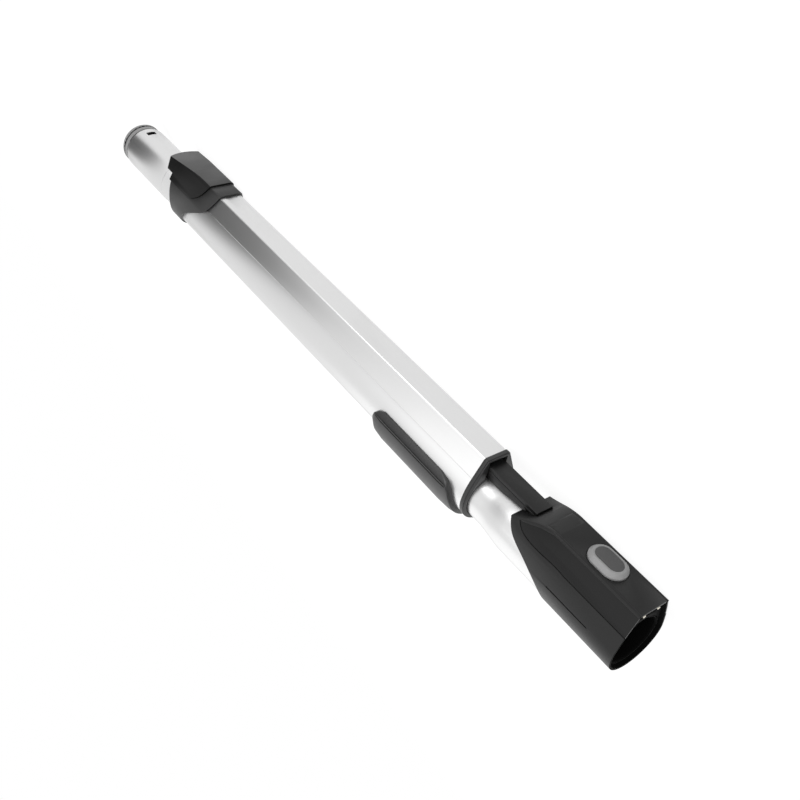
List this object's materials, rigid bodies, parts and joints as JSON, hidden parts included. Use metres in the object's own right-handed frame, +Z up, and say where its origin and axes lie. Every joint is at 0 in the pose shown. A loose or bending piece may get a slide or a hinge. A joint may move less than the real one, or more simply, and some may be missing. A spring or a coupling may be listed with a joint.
{
  "type": "telescopic vacuum wand",
  "caption": "Telescopic vacuum cleaner wand, closed: aluminium keystone outer tube, sliding inner tube with rail, release slider and powered nozzle coupling.",
  "frame": {"origin": "middle of the wand's bounding box, at the floor it lies on", "axes": "+X along the wand towards the nozzle coupling, +Z up from the floor; the wand's own top faces -115.5 degrees about X from up"},
  "size_m": [0.586, 0.062, 0.0471],
  "materials": {
    "tube_aluminium": "satin, anodised",
    "grey_plastic": "matte",
    "black_plastic": "fine matte",
    "dark_grey_plastic": "matte",
    "guide_plastic": "smooth",
    "spring_steel": "bright",
    "rivet_aluminium": "satin",
    "wire_cover": "smooth",
    "panel_plastic": "satin",
    "contact_brass": "bright",
    "light_grey_plastic": "matte",
    "pad_rubber": "matte"
  },
  "bodies": {
    "outer": {"upper_tube": "tube_aluminium", "end_bush": "grey_plastic", "outer_tube": "tube_aluminium", "collar": "black_plastic", "trim_ring": "dark_grey_plastic", "lower_guide": "guide_plastic", "catch_leaf": "spring_steel", "parking_clip": "black_plastic", "clip_rivets": "rivet_aluminium", "slider_spring": "spring_steel"},
    "slider": {"release_slider": "black_plastic", "pull_strip": "spring_steel"},
    "inner": {"inner_tube": "tube_aluminium", "tube_seal": "guide_plastic", "rail": "black_plastic", "rail_rivets": "rivet_aluminium", "lead_wires": "wire_cover", "coupling_housing": "black_plastic", "top_cover": "black_plastic", "panel_left": "panel_plastic", "panel_right": "panel_plastic", "socket_sleeve": "black_plastic", "contact_block": "black_plastic", "contact_pins": "contact_brass", "pivot_pin": "spring_steel", "button_spring": "spring_steel"},
    "button": {"button_rim": "light_grey_plastic", "button_pad": "pad_rubber"},
    "latch_arm": {"latch": "guide_plastic"}
  },
  "joints": [
    {"name": "tube_slide", "type": "slide", "parent": "outer", "child": "inner", "axis": [1, 0, 0], "range_m": [0, 0.27], "deforming": ["catch_leaf"]},
    {"name": "slider_pull", "type": "slide", "parent": "outer", "child": "slider", "axis": [-1, 0, 0], "range_m": [0, 0.006], "stiffness_N_per_m": 500, "springref_m": -0.006, "deforming": ["slider_spring"]},
    {"name": "button_press", "type": "slide", "parent": "inner", "child": "button", "axis": [0, -0.9026, 0.4305], "range_m": [0, 0.002], "stiffness_N_per_m": 800, "springref_m": -0.003, "deforming": ["button_spring"]},
    {"name": "latch_tip", "type": "hinge", "parent": "inner", "child": "latch_arm", "pos_m": [0.27, 0.01844, 0.01336], "axis": [0, 0.4305, 0.9026], "range_deg": [0, 9.7]}
  ],
  "couplings": [
    {"joint": "latch_tip", "follows": "button_press", "rad_per_m": 83.333}
  ]
}
